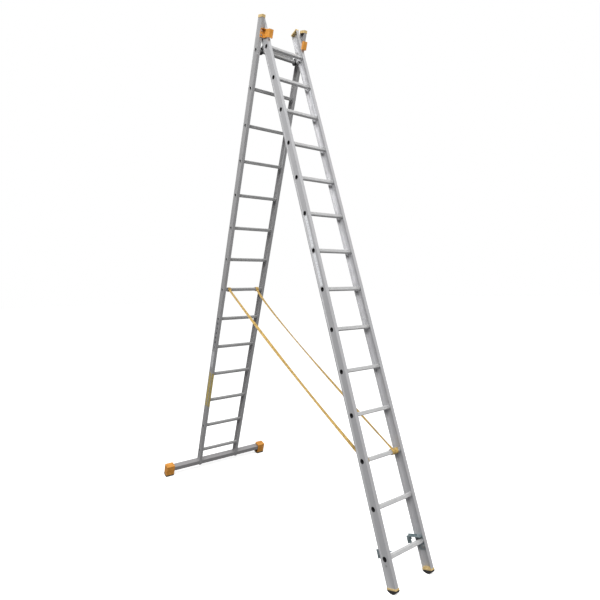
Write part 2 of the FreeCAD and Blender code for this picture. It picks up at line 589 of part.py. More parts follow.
    # the rung hook: a plate on the web round the last rung, a shelf over it and a nose behind it
    web = "upperHalf - webWall"
    edge = "upperHalf - flangeReach - seatGap"
    deepest = "upperHalf - flangeReach - hookWide"
    hook = fuse("rung_hook_%s_solid" % word, [
        block("rung_hook_%s_web" % word, across(side, web + " - hookPlate", web),
              ("-hookFront", "upperDepth / 2 - flangeWall - 1"), ("-hookDrop", "hookShelf")),
        block("rung_hook_%s_shelf" % word, across(side, deepest, web),
              ("-hookFront", "upperDepth / 2 - flangeWall - 1"), ("hookShelf - hookPlate", "hookShelf")),
        block("rung_hook_%s_reach" % word, across(side, deepest, edge),
              ("-hookFront", "hookTip"), ("hookShelf - hookPlate", "hookShelf")),
        block("rung_hook_%s_nose" % word, across(side, deepest, edge),
              ("hookTip - hookPlate", "hookTip"), ("-hookNose", "hookShelf")),
        block("rung_hook_%s_rib" % word, across(side, edge + " - hookPlate", edge),
              ("upperDepth / 2 - 20", "hookTip"), ("hookShelf - hookPlate", "hookShelf + 2 * hookPlate")),
        block("rung_hook_%s_inner_ear" % word, across(side, deepest, deepest + " + hookPlate"),
              ("hookTip - earDeep", "hookTip"), ("pawlRise - 10", "hookShelf")),
        block("rung_hook_%s_outer_ear" % word, across(side, edge + " - hookPlate", edge),
              ("hookTip - earDeep", "hookTip"), ("pawlRise - 10", "hookShelf")),
        rod("rung_hook_%s_pin" % word, "pawlPin", across(side, deepest, edge), "pawlBack", "pawlRise"),
    ])
    rungGap = block("rung_hook_%s_rung" % word, across(side, deepest, "upperHalf"),
                    ("-rungSize / 2 - seatGap", "rungSize / 2 + seatGap"),
                    ("-rungSize / 2 - seatGap", "rungSize / 2 + seatGap"))
    boltGap = rod("rung_hook_%s_hole" % word, "boltSize + 2 * fitGap",
                  across(side, web + " - 2 * hookPlate", web + " + 1"), "0", "-hookBolt")
    finish("rung_hook_" + word, cut("rung_hook_%s_piece" % word, hook, [rungGap, boltGap]),
           "upper", z="-spanRungs")
    # the latch pawl under the shelf, free on the pin
    slim = across(side, deepest + " + hookPlate + seatGap", edge + " - hookPlate - seatGap")
    pawl = fuse("hook_pawl_%s_solid" % word, [
        rod("hook_pawl_%s_eye" % word, "2 * pawlPin", slim, "pawlBack", "pawlRise"),
        block("hook_pawl_%s_blade" % word, slim, ("pawlBack - hookPlate", "pawlBack"),
              ("-pawlDrop", "pawlRise")),
        block("hook_pawl_%s_toe" % word, slim, ("pawlBack - pawlToe", "pawlBack"),
              ("-pawlDrop", "-pawlDrop + hookPlate")),
    ])
    pawlBore = rod("hook_pawl_%s_bore" % word, "pawlPin + 2 * fitGap",
                   across(side, deepest, edge), "pawlBack", "pawlRise")
    finish("hook_pawl_" + word, cut("hook_pawl_%s_piece" % word, pawl, [pawlBore]),
           "upper", z="-spanRungs")

finish("upper_fixings", fuse("upper_fixings_group", fixings), "upper")
for index in range(count):
    rung("upper_rung_%02d" % (index + 1), "upper", "upperHalf", index)
doc.recompute()


# ---- straps: webbing from a base rung to an upper rung, with a loop round each
def frameOf(name):
    for thing in finished:
        if thing.Label == name:
            return thing.Placement


def loopRound(place, middle):
    outer = sheet.rungRound / 2 + sheet.strapThick + 0.5
    inner = sheet.rungRound / 2 + 0.5
    wide = float(sheet.strapWide)
    start = place.multVec(FreeCAD.Vector(middle - wide / 2, 0, 0))
    along = FreeCAD.Vector(1, 0, 0)
    ring = Part.makeCylinder(outer, wide, start, along)
    return ring, Part.makeCylinder(inner, wide + 20, start - along * 10, along)


for word, side in sides:
    basePlace = frameOf("base_rung_%02d" % int(sheet.strapBaseRung))
    upperPlace = frameOf("upper_rung_%02d" % int(sheet.strapUpperRung))
    ringA, holeA = loopRound(basePlace, side * float(sheet.strapBaseX))
    ringB, holeB = loopRound(upperPlace, side * float(sheet.strapUpperX))
    endA = basePlace.multVec(FreeCAD.Vector(side * float(sheet.strapBaseX), 0, 0))
    endB = upperPlace.multVec(FreeCAD.Vector(side * float(sheet.strapUpperX), 0, 0))
    run = endB - endA
    along = FreeCAD.Vector(run).normalize()
    sidewards = FreeCAD.Vector(1, 0, 0)
    sidewards = (sidewards - along * sidewards.dot(along)).normalize()
    through = along.cross(sidewards)
    wide = float(sheet.strapWide)
    thick = float(sheet.strapThick)
    corner = endA - sidewards * (wide / 2) - through * (thick / 2)
    edges = [corner, corner + sidewards * wide, corner + sidewards * wide + through * thick,
             corner + through * thick, corner]
    band = Part.Face(Part.makePolygon(edges)).extrude(run)
    strap = band.fuse([ringA, ringB]).removeSplitter().cut([holeA, holeB])
    thing = doc.addObject("Part::Feature", "strap_" + word)
    thing.Shape = strap
    thing.Label = "strap_" + word
    finished.append(thing)

doc.recompute()

bad = []
for thing in doc.Objects:
    if "Invalid" in thing.State or "Error" in thing.State:
        bad.append(thing.Name + " " + str(thing.State))
for thing in finished:
    if thing.Shape.isNull() or not thing.Shape.isValid():
        bad.append(thing.Label + " has no sound shape")
if bad:
    raise RuntimeError("; ".join(bad))

os.makedirs("parts", exist_ok=True)
for thing in finished:
    thing.Shape.exportStep("parts/%s.step" % thing.Label)
print(len(finished), "parts")
for alias in ("hingeHigh", "hingeY", "baseLean", "upperY", "upperZ", "barDrop", "footDrop"):
    print(alias, round(float(getattr(sheet, alias)), 4))
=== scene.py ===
import math

import bmesh
import bpy
import numpy as np
from mathutils import Matrix, Vector


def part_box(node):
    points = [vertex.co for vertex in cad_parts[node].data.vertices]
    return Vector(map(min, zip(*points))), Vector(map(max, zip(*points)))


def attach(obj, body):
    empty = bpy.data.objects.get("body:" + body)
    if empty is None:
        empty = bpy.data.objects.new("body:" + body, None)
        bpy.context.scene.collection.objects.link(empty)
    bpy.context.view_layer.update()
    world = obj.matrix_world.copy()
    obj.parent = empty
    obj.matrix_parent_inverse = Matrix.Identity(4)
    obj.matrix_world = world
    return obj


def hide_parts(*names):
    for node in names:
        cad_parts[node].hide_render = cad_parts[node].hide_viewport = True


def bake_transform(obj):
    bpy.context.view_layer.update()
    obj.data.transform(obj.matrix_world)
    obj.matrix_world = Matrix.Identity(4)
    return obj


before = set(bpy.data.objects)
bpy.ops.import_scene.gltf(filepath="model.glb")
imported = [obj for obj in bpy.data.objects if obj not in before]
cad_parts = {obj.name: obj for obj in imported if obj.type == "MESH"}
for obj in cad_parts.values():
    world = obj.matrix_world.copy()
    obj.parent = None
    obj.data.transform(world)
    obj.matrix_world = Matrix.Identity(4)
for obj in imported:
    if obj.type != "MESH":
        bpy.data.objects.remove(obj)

scene = bpy.context.scene
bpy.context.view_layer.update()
mm = 0.001
sides = {"left": -1, "right": 1}
rungCount = 14  # in each section
print("frame loaded:", len(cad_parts), "parts")


# the camera stands ahead and to the left of the ladder, a little below half its height
cameraLook = {
    "place": (-2.2007, -3.1502, 1.7875),
    "heading": 36.815,  # degrees from +Y towards +X
    "tilt": -1.458,
    "roll": -1.105,
    "lens": 28.557,
}


def placeCamera(look):
    data = bpy.data.cameras.new("mainCamera")
    data.lens = look["lens"]
    data.sensor_width = 36
    data.clip_start = 0.05
    data.clip_end = 100
    camera = bpy.data.objects.new("mainCamera", data)
    turn = (
        Matrix.Rotation(-math.radians(look["heading"]), 4, "Z")
        @ Matrix.Rotation(math.radians(90 + look["tilt"]), 4, "X")
        @ Matrix.Rotation(math.radians(look["roll"]), 4, "Z")
    )
    camera.matrix_world = Matrix.Translation(look["place"]) @ turn
    scene.collection.objects.link(camera)
    scene.camera = camera


placeCamera(cameraLook)


# ---- where things are: each section has its own frame, its origin on its top rung

def middleOf(node):
    low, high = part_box(node)
    return (np.array(low) + np.array(high)) / 2


def sectionFrame(body, stem, stile, depth):
    # the line through rungs 02 to 14 is the section's own upright, and "back" is square to it
    second = middleOf(stem + "02")
    span = second - middleOf(stem + "%02d" % rungCount)
    steps = rungCount - 2
    long = float(np.linalg.norm(span))
    up = span / long
    back = np.cross(up, (1, 0, 0))
    return {
        "body": body, "start": second + span / steps, "up": up, "back": back,
        "pitch": long / steps, "half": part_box(stile)[1][0], "depth": depth,
        "lean": math.atan2(-up[1], up[2]),
    }


base = sectionFrame("base", "base_rung_", "base_stile_right", 0.060)
fly = sectionFrame("fly", "upper_rung_", "upper_stile_right", 0.070)


def toWorld(section, points):
    # across, back and up in a section's own frame, turned into the ladder's frame
    points = np.asarray(points, dtype=float)
    across = points[..., 0:1] * np.array((1.0, 0.0, 0.0))
    return section["start"] + across + points[..., 1:2] * section["back"] + points[..., 2:3] * section["up"]


# ---- mesh helpers

def newPiece(name, vertices, faces, uv=None):
    mesh = bpy.data.meshes.new(name)
    mesh.from_pydata(np.asarray(vertices).reshape(-1, 3).tolist(), [], faces)
    if uv is not None:
        layer = mesh.uv_layers.new(name="along")
        corners = np.empty(len(mesh.loops), dtype=np.int32)
        mesh.loops.foreach_get("vertex_index", corners)
        layer.data.foreach_set("uv", np.asarray(uv).reshape(-1, 2)[corners].astype(np.float32).ravel())
    piece = bpy.data.objects.new(name, mesh)
    scene.collection.objects.link(piece)
    return piece


def gridFaces(rows, columns, wrapRows=False, wrapColumns=True, caps=False):
    # four-sided faces between neighbouring rows and columns of a grid of points
    index = np.arange(rows * columns).reshape(rows, columns)
    onward = np.roll(index, -1, axis=0)
    beside = np.roll(index, -1, axis=1)
    corner = np.roll(onward, -1, axis=1)
    quads = np.stack([index, beside, corner, onward], axis=-1)
    if not wrapRows:
        quads = quads[:-1]
    if not wrapColumns:
        quads = quads[:, :-1]
    faces = quads.reshape(-1, 4).tolist()
    if caps:
        faces.append(index[0][::-1].tolist())
        faces.append(index[-1].tolist())
    return faces


def faceOutwards(piece):
    work = bmesh.new()
    work.from_mesh(piece.data)
    bmesh.ops.recalc_face_normals(work, faces=work.faces)
    work.to_mesh(piece.data)
    work.free()


def smooth(piece, angle=35):
    piece.data.shade_smooth()
    piece.data.set_sharp_from_angle(angle=math.radians(angle))


def dress(piece, material, body, nodes=(), angle=35):
    if not piece.data.materials:
        piece.data.materials.append(material)
    smooth(piece, angle)
    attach(piece, body)
    if nodes:
        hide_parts(*nodes)
    return piece


weldWithin = 0.00001
flatWithin = 0.6  # degrees between faces that are joined into one


def rounded(node, width, material, body, segments=2, angle=30):
    # the part's own shape with its flat faces joined up and its sharp edges rolled over
    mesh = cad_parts[node].data.copy()
    mesh.name = node + "_rounded"
    work = bmesh.new()
    work.from_mesh(mesh)
    bmesh.ops.remove_doubles(work, verts=work.verts, dist=weldWithin)
    bmesh.ops.dissolve_limit(work, angle_limit=math.radians(flatWithin), verts=work.verts, edges=work.edges)
    work.to_mesh(mesh)
    work.free()
    mesh.materials.clear()
    piece = bpy.data.objects.new(node + "_look", mesh)
    scene.collection.objects.link(piece)
    roll = piece.modifiers.new("rolledEdges", "BEVEL")
    roll.width = width
    roll.segments = segments
    roll.limit_method = "ANGLE"
    roll.angle_limit = math.radians(angle)
    roll.use_clamp_overlap = True
    roll.harden_normals = True
    return dress(piece, material, body, [node])


# ---- shader groups

def newGroup(name, inputs, outputs):
    group = bpy.data.node_groups.new(name, "ShaderNodeTree")
    for label, kind, value in inputs:
        socket = group.interface.new_socket(name=label, in_out="INPUT", socket_type=kind)
        if value is not None:
            socket.default_value = value
    for label, kind in outputs:
        group.interface.new_socket(name=label, in_out="OUTPUT", socket_type=kind)
    return group, group.nodes.new("NodeGroupInput"), group.nodes.new("NodeGroupOutput")


def math1(tree, operation, a, b=None, clamp=False):
    node = tree.nodes.new("ShaderNodeMath")
    node.operation = operation
    node.use_clamp = clamp
    for socket, value in zip(node.inputs, (a, b)):
        if value is None:
            continue
        if isinstance(value, (int, float)):
            socket.default_value = value
        else:
            tree.links.new(value, socket)
    return node.outputs[0]


def noise(tree, vector, scale, detail=3.0, rough=0.5):
    node = tree.nodes.new("ShaderNodeTexNoise")
    node.inputs["Scale"].default_value = scale
    node.inputs["Detail"].default_value = detail
    node.inputs["Roughness"].default_value = rough
    tree.links.new(vector, node.inputs["Vector"])
    return node.outputs["Fac"]


def stretched(tree, vector, scale):
    node = tree.nodes.new("ShaderNodeMapping")
    node.inputs["Scale"].default_value = scale
    tree.links.new(vector, node.inputs["Vector"])
    return node.outputs["Vector"]


def ramp(tree, value, low, high, out0=0.0, out1=1.0):
    node = tree.nodes.new("ShaderNodeMapRange")
    node.inputs["From Min"].default_value = low
    node.inputs["From Max"].default_value = high
    node.inputs["To Min"].default_value = out0
    node.inputs["To Max"].default_value = out1
    tree.links.new(value, node.inputs["Value"])
    return node.outputs["Result"]


def makeDrawnLines():
    # die lines left by the extrusion: noise pulled out long in one direction, with a few deeper ones
    group, inside, outside = newGroup(
        "drawnLines",
        [("Vector", "NodeSocketVector", None), ("Fine", "NodeSocketFloat", 900.0)],
        [("Height", "NodeSocketFloat"), ("Tone", "NodeSocketFloat")],
    )
    fine = group.nodes.new("ShaderNodeTexNoise")
    fine.inputs["Detail"].default_value = 2.0
    group.links.new(inside.outputs["Vector"], fine.inputs["Vector"])
    group.links.new(inside.outputs["Fine"], fine.inputs["Scale"])
    broad = noise(group, inside.outputs["Vector"], 160.0, 2.0)
    deeper = ramp(group, broad, 0.58, 0.66)
    height = math1(group, "SUBTRACT", fine.outputs["Fac"], math1(group, "MULTIPLY", deeper, 0.6))
    tone = math1(group, "ADD", math1(group, "MULTIPLY", fine.outputs["Fac"], 0.5),
                 math1(group, "MULTIPLY", broad, 0.5))
    group.links.new(height, outside.inputs["Height"])
    group.links.new(tone, outside.inputs["Tone"])
    return group


def makeHandling():
    # marks of use: cloudy smears, and short scratches where a thin band of a warped noise is met
    group, inside, outside = newGroup(
        "handling",
        [("Vector", "NodeSocketVector", None), ("Size", "NodeSocketFloat", 9.0)],
        [("Smears", "NodeSocketFloat"), ("Scratches", "NodeSocketFloat")],
    )
    cloud = group.nodes.new("ShaderNodeTexNoise")
    cloud.inputs["Detail"].default_value = 5.0
    cloud.inputs["Roughness"].default_value = 0.6
    cloud.inputs["Distortion"].default_value = 0.6
    group.links.new(inside.outputs["Vector"], cloud.inputs["Vector"])
    group.links.new(inside.outputs["Size"], cloud.inputs["Scale"])
    smears = ramp(group, cloud.outputs["Fac"], 0.42, 0.68)
    slanted = group.nodes.new("ShaderNodeMapping")
    slanted.inputs["Rotation"].default_value = (0.5, 0.9, 0.3)
    slanted.inputs["Scale"].default_value = (6.0, 70.0, 70.0)
    group.links.new(inside.outputs["Vector"], slanted.inputs["Vector"])
    fine = noise(group, slanted.outputs["Vector"], 4.0, 2.0)
    band = math1(group, "ABSOLUTE", math1(group, "SUBTRACT", fine, 0.5))
    thin = ramp(group, band, 0.0, 0.006, 1.0, 0.0)
    patchy = ramp(group, noise(group, inside.outputs["Vector"], 14.0, 2.0), 0.55, 0.62)
    group.links.new(smears, outside.inputs["Smears"])
    group.links.new(math1(group, "MULTIPLY", thin, patchy), outside.inputs["Scratches"])
    return group


def makeMoulded():
    # the fine spark-eroded skin of moulded plastic and rubber, with slight mottling of its colour
    group, inside, outside = newGroup(
        "moulded",
        [("Vector", "NodeSocketVector", None), ("Grain", "NodeSocketFloat", 1400.0)],
        [("Height", "NodeSocketFloat"), ("Mottle", "NodeSocketFloat")],
    )
    grain = group.nodes.new("ShaderNodeTexVoronoi")
    grain.feature = "SMOOTH_F1"
    group.links.new(inside.outputs["Vector"], grain.inputs["Vector"])
    group.links.new(inside.outputs["Grain"], grain.inputs["Scale"])
    group.links.new(grain.outputs["Distance"], outside.inputs["Height"])
    group.links.new(noise(group, inside.outputs["Vector"], 38.0, 4.0), outside.inputs["Mottle"])
    return group


groups = {"lines": makeDrawnLines(), "handling": makeHandling(), "moulded": makeMoulded()}


# ---- materials

def startMaterial(name):
    material = bpy.data.materials.new(name)
    material.use_nodes = True
    tree = material.node_tree
    shader = tree.nodes["Principled BSDF"]
    return material, tree, shader


def objectPlace(tree):
    node = tree.nodes.new("ShaderNodeTexCoord")
    return node.outputs["Object"]


def useGroup(tree, name, vector, **values):
    node = tree.nodes.new("ShaderNodeGroup")
    node.node_tree = groups[name]
    tree.links.new(vector, node.inputs["Vector"])
    for label, value in values.items():
        node.inputs[label].default_value = value
    return node


def mixColours(tree, factor, dark, light):
    node = tree.nodes.new("ShaderNodeMix")
    node.data_type = "RGBA"
    node.inputs["A"].default_value = (*dark, 1)
    if isinstance(light, tuple):
        node.inputs["B"].default_value = (*light, 1)
    else:
        tree.links.new(light, node.inputs["B"])
    tree.links.new(factor, node.inputs["Factor"])
    return node.outputs["Result"]


def bump(tree, shader, height, strength, distance):
    node = tree.nodes.new("ShaderNodeBump")
    node.inputs["Strength"].default_value = strength
    node.inputs["Distance"].default_value = distance
    tree.links.new(height, node.inputs["Height"])
    tree.links.new(node.outputs["Normal"], shader.inputs["Normal"])


def alongSection(tree, section):
    # the section's own across, back and up as a vector, so drawn lines run along the stiles
    node = tree.nodes.new("ShaderNodeMapping")
    node.vector_type = "TEXTURE"
    node.inputs["Location"].default_value = tuple(section["start"])
    node.inputs["Rotation"].default_value = (section["lean"], 0, 0)
    tree.links.new(objectPlace(tree), node.inputs["Vector"])
    return node.outputs["Vector"]


def drawnAluminium(name, section, dark, light, metal, rough, pull):
    # mill-finish extrusion: drawn lines in the tone and the bump, smears and scratches in the gloss
    material, tree, shader = startMaterial(name)
    own = alongSection(tree, section)
    lines = useGroup(tree, "lines", stretched(tree, own, pull), Fine=700.0)
    marks = useGroup(tree, "handling", own, Size=5.0)
    tone = math1(tree, "ADD", math1(tree, "MULTIPLY", lines.outputs["Tone"], 0.8),
                 math1(tree, "MULTIPLY", marks.outputs["Smears"], -0.22))
    tone = math1(tree, "ADD", tone, math1(tree, "MULTIPLY", marks.outputs["Scratches"], 0.25), clamp=True)
    tree.links.new(mixColours(tree, tone, dark, light), shader.inputs["Base Color"])
    gloss = math1(tree, "ADD", math1(tree, "MULTIPLY", marks.outputs["Smears"], 0.12), rough)
    gloss = math1(tree, "SUBTRACT", gloss, math1(tree, "MULTIPLY", marks.outputs["Scratches"], 0.1))
    tree.links.new(gloss, shader.inputs["Roughness"])
    shader.inputs["Metallic"].default_value = metal
    bump(tree, shader, lines.outputs["Height"], 0.12, 0.0004)
    return material


def platedSteel(name, dark, light, rough):
    # dull zinc plating: crystal-like patches of slightly different tint
    material, tree, shader = startMaterial(name)
    place = objectPlace(tree)
    cells = tree.nodes.new("ShaderNodeTexVoronoi")
    cells.inputs["Scale"].default_value = 260.0
    tree.links.new(place, cells.inputs["Vector"])
    patch = math1(tree, "FRACT", math1(tree, "MULTIPLY", cells.outputs["Distance"], 2.3))
    marks = useGroup(tree, "handling", place, Size=30.0)
    tone = math1(tree, "ADD", math1(tree, "MULTIPLY", patch, 0.5),
                 math1(tree, "MULTIPLY", marks.outputs["Smears"], 0.5), clamp=True)
    tree.links.new(mixColours(tree, tone, dark, light), shader.inputs["Base Color"])
    tree.links.new(math1(tree, "ADD", math1(tree, "MULTIPLY", patch, 0.1), rough), shader.inputs["Roughness"])
    shader.inputs["Metallic"].default_value = 0.85
    bump(tree, shader, patch, 0.08, 0.0003)
    return material


def mouldedPlastic(name, dark, light, rough, grain=0.10):
    material, tree, shader = startMaterial(name)
    place = objectPlace(tree)
    skin = useGroup(tree, "moulded", place, Grain=1400.0)
    marks = useGroup(tree, "handling", place, Size=24.0)
    tone = math1(tree, "SUBTRACT", ramp(tree, skin.outputs["Mottle"], 0.3, 0.7),
                 math1(tree, "MULTIPLY", marks.outputs["Smears"], 0.25), clamp=True)
    tone = math1(tree, "ADD", tone, math1(tree, "MULTIPLY", marks.outputs["Scratches"], 0.3), clamp=True)
    tree.links.new(mixColours(tree, tone, dark, light), shader.inputs["Base Color"])
    tree.links.new(math1(tree, "ADD", math1(tree, "MULTIPLY", marks.outputs["Smears"], 0.12), rough),
                   shader.inputs["Roughness"])
    shader.inputs["Specular IOR Level"].default_value = 0.4
    bump(tree, shader, skin.outputs["Height"], grain, 0.0003)
    return material


def wovenWebbing(name, dark, light):
    # a herringbone of yarns: diagonal ridges that turn back at the middle, with painted shade in the hollows
    # between them
    material, tree, shader = startMaterial(name)
    uv = tree.nodes.new("ShaderNodeUVMap")
    uv.uv_map = "along"
    parts = tree.nodes.new("ShaderNodeSeparateXYZ")
    tree.links.new(uv.outputs["UV"], parts.inputs[0])
    across = math1(tree, "ABSOLUTE", math1(tree, "SUBTRACT", parts.outputs["X"], 0.5))
    slope = math1(tree, "ADD", math1(tree, "MULTIPLY", parts.outputs["Y"], 3600.0),
                  math1(tree, "MULTIPLY", across, 60.0))
    ridge = ramp(tree, math1(tree, "SINE", slope), -1.0, 1.0)
    yarn = ramp(tree, math1(tree, "SINE", math1(tree, "MULTIPLY", parts.outputs["X"], 120.0)), -1.0, 1.0)
    weave = math1(tree, "MULTIPLY", ridge, math1(tree, "ADD", math1(tree, "MULTIPLY", yarn, 0.5), 0.5))
    worn = noise(tree, objectPlace(tree), 60.0, 5.0)
    dirt = ramp(tree, worn, 0.42, 0.72)
    # the weave's hollows are a quarter as bright: painted shade; the noise taken off on top is dirt
    tone = math1(tree, "SUBTRACT", ramp(tree, weave, 0.0, 0.7, 0.25, 1.0),
                 math1(tree, "MULTIPLY", dirt, 0.55), clamp=True)
    tree.links.new(mixColours(tree, tone, dark, light), shader.inputs["Base Color"])
    shader.inputs["Roughness"].default_value = 0.82
    shader.inputs["Sheen Weight"].default_value = 0.25
    shader.inputs["Sheen Roughness"].default_value = 0.4
    bump(tree, shader, weave, 0.6, 0.0006)
    return material


def printedLabel(name, ground, ink, rows, share):
    # a printed sticker: plain bars of uneven length in rows, on a ground with a slight sheen of age
    material, tree, shader = startMaterial(name)
    uv = tree.nodes.new("ShaderNodeUVMap")
    uv.uv_map = "along"
    parts = tree.nodes.new("ShaderNodeSeparateXYZ")
    tree.links.new(uv.outputs["UV"], parts.inputs[0])
    line = math1(tree, "MULTIPLY", parts.outputs["Y"], rows)
    within = math1(tree, "FRACT", line)
    row = math1(tree, "FLOOR", line)
    bar = math1(tree, "MULTIPLY", math1(tree, "GREATER_THAN", within, 0.34),
                math1(tree, "LESS_THAN", within, 0.72))
    scrambled = math1(tree, "SINE", math1(tree, "MULTIPLY", row, 12.9))
    length = math1(tree, "FRACT", math1(tree, "MULTIPLY", scrambled, 7.3))
    reach = ramp(tree, length, 0.0, 1.0, 0.45, 0.86)
    inside = math1(tree, "MULTIPLY", math1(tree, "GREATER_THAN", parts.outputs["X"], 0.12),
                   math1(tree, "LESS_THAN", parts.outputs["X"], reach))
    used = math1(tree, "LESS_THAN", math1(tree, "FRACT", math1(tree, "MULTIPLY", row, 0.37)), share)
    mask = math1(tree, "MULTIPLY", math1(tree, "MULTIPLY", bar, inside), used)
    aged = noise(tree, objectPlace(tree), 45.0, 4.0)
    paper = mixColours(tree, ramp(tree, aged, 0.35, 0.7), tuple(c * 0.86 for c in ground), ground)
    mix = tree.nodes.new("ShaderNodeMix")
    mix.data_type = "RGBA"
    tree.links.new(mask, mix.inputs["Factor"])
    tree.links.new(paper, mix.inputs["A"])
    mix.inputs["B"].default_value = (*ink, 1)
    tree.links.new(mix.outputs["Result"], shader.inputs["Base Color"])
    tree.links.new(ramp(tree, aged, 0.3, 0.7, 0.35, 0.5), shader.inputs["Roughness"])
    return material


# stiles pull along the section's up, rungs pull along the ladder's across
stileLines = (1.0, 1.0, 0.006)
rungLines = (0.006, 1.0, 1.0)
materials = {
    "flyStile": drawnAluminium("flyStileAluminium", fly, (0.44, 0.44, 0.45),
                               (0.62, 0.62, 0.63), 0.5, 0.42, stileLines),
    # the base section's stile colour is a darker copy of the fly's aluminium: painted shade, for the base
    # leaning away from the light
    "baseStile": drawnAluminium("baseStileShadedAluminium", base, (0.37, 0.368, 0.37),
                                (0.54, 0.535, 0.54), 0.5, 0.44, stileLines),
    "flyRung": drawnAluminium("flyRungAluminium", fly, (0.60, 0.60, 0.60),
                              (0.78, 0.78, 0.78), 0.5, 0.36, rungLines),
    # the base rungs are a darker copy of the fly rungs' aluminium: painted shade, for the base leaning away
    # from the light
    "baseRung": drawnAluminium("baseRungShadedAluminium", base, (0.34, 0.34, 0.34),
                               (0.49, 0.49, 0.49), 0.5, 0.38, rungLines),
    "bar": drawnAluminium("barAluminium", base,
                          (0.35, 0.34, 0.345), (0.48, 0.47, 0.475), 0.55, 0.40, rungLines),
    # the hollow inside of the rung tubes is painted near-black: painted shade in the tube; the base's painted
    # shade is less dark
    "bore": mouldedPlastic("tubeHollowShade", (0.010, 0.010, 0.011), (0.022, 0.022, 0.024), 0.6),
    "baseBoreShade": mouldedPlastic("baseTubeHollowShade", (0.07, 0.07, 0.07), (0.12, 0.12, 0.12), 0.6),
    "arm": platedSteel("hingeArmSteel", (0.50, 0.50, 0.505), (0.68, 0.68, 0.685), 0.42),
    "zinc": platedSteel("hookZinc", (0.26, 0.33, 0.35), (0.50, 0.58, 0.60), 0.36),
    "fixing": platedSteel("fixingZinc", (0.34, 0.34, 0.34), (0.56, 0.56, 0.55), 0.34),
    "orange": mouldedPlastic("orangePlastic", (0.54, 0.22, 0.03), (0.74, 0.33, 0.06), 0.42),
    "tan": mouldedPlastic("tanPlastic", (0.50, 0.36, 0.15), (0.68, 0.50, 0.24), 0.48),
    "black": mouldedPlastic("blackPlastic", (0.012, 0.012, 0.013), (0.03, 0.03, 0.032), 0.45),
    "rubber": mouldedPlastic("blackRubber", (0.014, 0.013, 0.013), (0.036, 0.034, 0.033), 0.72, 0.2),
    "barSole": mouldedPlastic("greyRubber", (0.075, 0.080, 0.060), (0.15, 0.155, 0.12), 0.7, 0.2),
    # the webbing's dark colour is deepened as painted shade, for the strap that lies in shadow
    "webbing": wovenWebbing("yellowWebbingShaded", (0.21, 0.13, 0.035), (0.70, 0.46, 0.12)),
    "labelWhite": printedLabel("whiteLabel", (0.74, 0.75, 0.77), (0.40, 0.41, 0.43), 30.0, 0.35),
    "labelYellow": printedLabel("yellowLabel", (0.50, 0.39, 0.13), (0.28, 0.24, 0.12), 26.0, 0.5),
    "labelSilver": printedLabel("silverLabel", (0.50, 0.50, 0.51), (0.34, 0.34, 0.35), 16.0, 0.4),
    "labelDark": printedLabel("darkLabel", (0.26, 0.26, 0.27), (0.02, 0.02, 0.022), 6.0, 1.0),
}
print("materials made:", len(materials))


# ---- rungs: a ribbed tube let through both stiles, with its ends rolled over and hollow

rungLook = {
    "square": 13.0 * mm,  # middle to flat face
    "corner": 15.5 * mm,  # middle to rounded corner
    "spigot": 13.0 * mm,
    "flare": 15.5 * mm,
    "flareRise": 1.5 * mm,
    "bore": 11.5 * mm,
    "web": 3.0 * mm,
    "sunk": 1.0 * mm,
    "grooveApart": 2.6 * mm,
    "grooveDeep": 0.75 * mm,
    "finHalf": 138.0 * mm,
    "finHigh": 39.0 * mm,
    "finFoot": 12.0 * mm,
    "finThick": 6.0 * mm,
    "hingeTube": 14.0 * mm,  # radius of the plain top tube of the base
    "around": 144,
}


def rungOutline(angle, look):
    # a square with rounded corners in polar form, its faces cut by even grooves
    side = np.maximum(np.abs(np.cos(angle)), np.abs(np.sin(angle)))
    radius = np.minimum(look["square"] / side, look["corner"])
    over = radius * np.minimum(np.abs(np.cos(angle)), np.abs(np.sin(angle)))
    groove = 0.5 - 0.5 * np.cos(2 * np.pi * over / look["grooveApart"])
    reach = np.clip((look["square"] * 0.80 - over) / (1.5 * mm), 0, 1)
    return radius - look["grooveDeep"] * groove * reach


def tubeStations(inner, outer, look, plain):
    # distance from the middle, share of the ribbed outline, and plain radius, from the middle outwards
    bead = plain + 0.8 * mm if plain < look["corner"] else look["corner"]
    rise = outer + look["flareRise"]
    return [
        (0.0, 1, plain), (inner - 16 * mm, 1, plain),
        (inner - 12 * mm, 0.8, bead), (inner - 8 * mm, 0.15, bead),
        (inner - 2 * mm, 0, bead), (inner - 0.1 * mm, 0, bead - 0.6 * mm), (inner, 0, look["spigot"]),
        (outer, 0, look["spigot"]), (outer + 0.02 * mm, 0, look["flare"]),
        (outer + 0.6 * look["flareRise"], 0, look["flare"]), (rise, 0, look["flare"] - 0.9 * mm),
        (rise, 0, look["bore"] + 1.0 * mm), (rise - 0.8 * mm, 0, look["bore"]),
        (inner - 30 * mm, 0, look["bore"]),
    ]


def makeRung(section, node, index, look, material, hollowShade, shadedRows, plainRadius=0.0):
    # radius against angle and station, swept across the ladder; it closes on itself through the bore
    angle = np.linspace(0, 2 * np.pi, look["around"], endpoint=False)
    inner = section["half"] - look["web"]
    outer = section["half"] - look["sunk"]
    plain = plainRadius if plainRadius else look["corner"]
    half = tubeStations(inner, outer, look, plain)
    whole = np.array(half + [(-x, share, r) for x, share, r in half[::-1]])
    ribbed = plain + 0 * angle if plainRadius else rungOutline(angle, look)
    radius = whole[:, 1:2] * ribbed[None, :] + (1 - whole[:, 1:2]) * whole[:, 2:3]
    across = np.repeat(whole[:, 0:1], look["around"], axis=1)
    level = radius * np.sin(angle) - index * section["pitch"]
    points = np.stack([across, radius * np.cos(angle), level], axis=-1)
    rows = len(whole)
    faces = gridFaces(rows, look["around"], wrapRows=True)
    piece = newPiece(node + "_look", toWorld(section, points), faces)
    row = np.repeat(np.arange(rows), look["around"])
    # the rows through the bore take the near-black finish, painted shade for the hollow tube; on the fly it
    # reaches over the rolled lip's end face too
    dark = np.abs(row - (len(half) - 1)) <= shadedRows
    piece.data.materials.append(material)
    piece.data.materials.append(materials[hollowShade])
    piece.data.polygons.foreach_set("material_index", dark.astype(np.int32))
    faceOutwards(piece)
    return dress(piece, material, section["body"], [node], 32)


